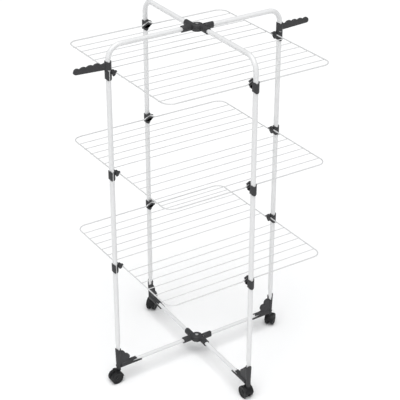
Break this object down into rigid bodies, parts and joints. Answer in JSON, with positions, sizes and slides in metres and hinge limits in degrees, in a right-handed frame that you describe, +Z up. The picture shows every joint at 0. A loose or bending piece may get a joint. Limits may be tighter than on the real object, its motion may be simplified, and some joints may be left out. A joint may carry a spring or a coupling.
{
  "type": "clothes drying rack",
  "caption": "Tall folding clothes drying rack on casters: two crossed tube frames with tiers of wire racks and swinging hanger arms.",
  "frame": {"origin": "on the floor under the centre pivots", "axes": "+Z up, X along the frame that carries the racks' hinges and the hanger arms, Y along the frame that folds"},
  "size_m": [0.96, 0.7502, 1.3763],
  "materials": {
    "white_enamel": "smooth white powder coat on steel tube",
    "coated_wire": "white plastic-coated steel wire",
    "grey_plastic": "dark grey moulded plastic, fine matt texture",
    "caster_black": "black moulded nylon, slight sheen",
    "wheel_black": "black wheel with a satin tread",
    "plated_steel": "zinc plated pins and axles"
  },
  "bodies": {
    "frame_a": {"frame_a_right_tube": "white_enamel", "frame_a_left_tube": "white_enamel", "base_bar_right": "white_enamel", "base_bar_left": "white_enamel", "corner_bracket_right": "grey_plastic", "corner_bracket_left": "grey_plastic", "top_hub_a": "grey_plastic", "base_hub_a": "grey_plastic", "top_pivot_pin": "plated_steel", "base_pivot_pin": "plated_steel", "hinge_clip_low_right": "grey_plastic", "hinge_clip_middle_right": "grey_plastic", "hinge_clip_top_right": "grey_plastic", "hinge_clip_low_left": "grey_plastic", "hinge_clip_middle_left": "grey_plastic", "hinge_clip_top_left": "grey_plastic"},
    "frame_b": {"frame_b_back_tube": "white_enamel", "frame_b_front_tube": "white_enamel", "base_bar_back": "white_enamel", "base_bar_front": "white_enamel", "corner_bracket_back": "grey_plastic", "corner_bracket_front": "grey_plastic", "top_hub_b": "grey_plastic", "base_hub_b": "grey_plastic", "rest_clips_back": "grey_plastic", "rest_clips_front": "grey_plastic", "rest_clip_lips_back": "grey_plastic", "rest_clip_lips_front": "grey_plastic"},
    "half_rack_low_back": {"rack_rim_low_back": "coated_wire", "rack_wires_low_back": "coated_wire"},
    "half_rack_low_front": {"rack_rim_low_front": "coated_wire", "rack_wires_low_front": "coated_wire"},
    "half_rack_middle_back": {"rack_rim_middle_back": "coated_wire", "rack_wires_middle_back": "coated_wire"},
    "half_rack_middle_front": {"rack_rim_middle_front": "coated_wire", "rack_wires_middle_front": "coated_wire"},
    "half_rack_top_back": {"rack_rim_top_back": "coated_wire", "rack_wires_top_back": "coated_wire"},
    "half_rack_top_front": {"rack_rim_top_front": "coated_wire", "rack_wires_top_front": "coated_wire"},
    "hanger_right": {"hanger_arm_right": "grey_plastic"},
    "hanger_left": {"hanger_arm_left": "grey_plastic"},
    "caster_right": {"caster_body_right": "caster_black", "caster_axle_right": "plated_steel"},
    "wheel_right_inner": {"caster_wheel_right_inner": "wheel_black"},
    "wheel_right_outer": {"caster_wheel_right_outer": "wheel_black"},
    "caster_left": {"caster_body_left": "caster_black", "caster_axle_left": "plated_steel"},
    "wheel_left_inner": {"caster_wheel_left_inner": "wheel_black"},
    "wheel_left_outer": {"caster_wheel_left_outer": "wheel_black"},
    "caster_back": {"caster_body_back": "caster_black", "caster_axle_back": "plated_steel"},
    "wheel_back_inner": {"caster_wheel_back_inner": "wheel_black"},
    "wheel_back_outer": {"caster_wheel_back_outer": "wheel_black"},
    "caster_front": {"caster_body_front": "caster_black", "caster_axle_front": "plated_steel"},
    "wheel_front_inner": {"caster_wheel_front_inner": "wheel_black"},
    "wheel_front_outer": {"caster_wheel_front_outer": "wheel_black"}
  },
  "joints": [
    {"name": "frame_fold", "type": "hinge", "parent": "frame_a", "child": "frame_b", "pos_m": [0, 0, 0.7], "axis": [0, 0, -1], "range_deg": [0, 74], "deforming": ["rest_clip_lips_back", "rest_clip_lips_front"]},
    {"name": "rack_low_back_fold", "type": "hinge", "parent": "frame_a", "child": "half_rack_low_back", "pos_m": [0, 0.006, 0.51], "axis": [-1, 0, 0], "range_deg": [0, 90]},
    {"name": "rack_low_front_fold", "type": "hinge", "parent": "frame_a", "child": "half_rack_low_front", "pos_m": [0, -0.006, 0.51], "axis": [1, 0, 0], "range_deg": [0, 90]},
    {"name": "rack_middle_back_fold", "type": "hinge", "parent": "frame_a", "child": "half_rack_middle_back", "pos_m": [0, 0.006, 0.888], "axis": [-1, 0, 0], "range_deg": [0, 90]},
    {"name": "rack_middle_front_fold", "type": "hinge", "parent": "frame_a", "child": "half_rack_middle_front", "pos_m": [0, -0.006, 0.888], "axis": [1, 0, 0], "range_deg": [0, 90]},
    {"name": "rack_top_back_fold", "type": "hinge", "parent": "frame_a", "child": "half_rack_top_back", "pos_m": [0, 0.006, 1.266], "axis": [-1, 0, 0], "range_deg": [0, 90]},
    {"name": "rack_top_front_fold", "type": "hinge", "parent": "frame_a", "child": "half_rack_top_front", "pos_m": [0, -0.006, 1.266], "axis": [1, 0, 0], "range_deg": [0, 90]},
    {"name": "hanger_right_swing", "type": "hinge", "parent": "frame_a", "child": "hanger_right", "pos_m": [0.35, -0.003, 1.295], "axis": [0, 0, 1], "range_deg": [-90, 45]},
    {"name": "hanger_left_swing", "type": "hinge", "parent": "frame_a", "child": "hanger_left", "pos_m": [-0.35, 0.003, 1.295], "axis": [0, 0, 1], "range_deg": [-90, 45]},
    {"name": "caster_right_swivel", "type": "hinge", "parent": "frame_a", "child": "caster_right", "pos_m": [0.35, -0.003, 0.06], "axis": [0, 0, 1], "continuous": true},
    {"name": "wheel_right_inner_spin", "type": "hinge", "parent": "caster_right", "child": "wheel_right_inner", "pos_m": [0.36073, 0.006, 0.024], "axis": [0.6428, -0.766, 0], "continuous": true},
    {"name": "wheel_right_outer_spin", "type": "hinge", "parent": "caster_right", "child": "wheel_right_outer", "pos_m": [0.36073, 0.006, 0.024], "axis": [0.6428, -0.766, 0], "continuous": true},
    {"name": "caster_left_swivel", "type": "hinge", "parent": "frame_a", "child": "caster_left", "pos_m": [-0.35, 0.003, 0.06], "axis": [0, 0, 1], "continuous": true},
    {"name": "wheel_left_inner_spin", "type": "hinge", "parent": "caster_left", "child": "wheel_left_inner", "pos_m": [-0.364, 0.003, 0.024], "axis": [0, 1, 0], "continuous": true},
    {"name": "wheel_left_outer_spin", "type": "hinge", "parent": "caster_left", "child": "wheel_left_outer", "pos_m": [-0.364, 0.003, 0.024], "axis": [0, 1, 0], "continuous": true},
    {"name": "caster_back_swivel", "type": "hinge", "parent": "frame_b", "child": "caster_back", "pos_m": [-0.003, 0.35, 0.06], "axis": [0, 0, 1], "continuous": true},
    {"name": "wheel_back_inner_spin", "type": "hinge", "parent": "caster_back", "child": "wheel_back_inner", "pos_m": [0.00773, 0.359, 0.024], "axis": [0.6428, -0.766, 0], "continuous": true},
    {"name": "wheel_back_outer_spin", "type": "hinge", "parent": "caster_back", "child": "wheel_back_outer", "pos_m": [0.00773, 0.359, 0.024], "axis": [0.6428, -0.766, 0], "continuous": true},
    {"name": "caster_front_swivel", "type": "hinge", "parent": "frame_b", "child": "caster_front", "pos_m": [0.003, -0.35, 0.06], "axis": [0, 0, 1], "continuous": true},
    {"name": "wheel_front_inner_spin", "type": "hinge", "parent": "caster_front", "child": "wheel_front_inner", "pos_m": [0.003, -0.336, 0.024], "axis": [1, 0, 0], "continuous": true},
    {"name": "wheel_front_outer_spin", "type": "hinge", "parent": "caster_front", "child": "wheel_front_outer", "pos_m": [0.003, -0.336, 0.024], "axis": [1, 0, 0], "continuous": true}
  ],
  "couplings": [
    {"joint": "rack_low_back_fold", "follows": "frame_fold", "ratio": 1.216},
    {"joint": "rack_low_front_fold", "follows": "frame_fold", "ratio": 1.216},
    {"joint": "rack_middle_back_fold", "follows": "frame_fold", "ratio": 1.216},
    {"joint": "rack_middle_front_fold", "follows": "frame_fold", "ratio": 1.216},
    {"joint": "rack_top_back_fold", "follows": "frame_fold", "ratio": 1.216},
    {"joint": "rack_top_front_fold", "follows": "frame_fold", "ratio": 1.216}
  ]
}
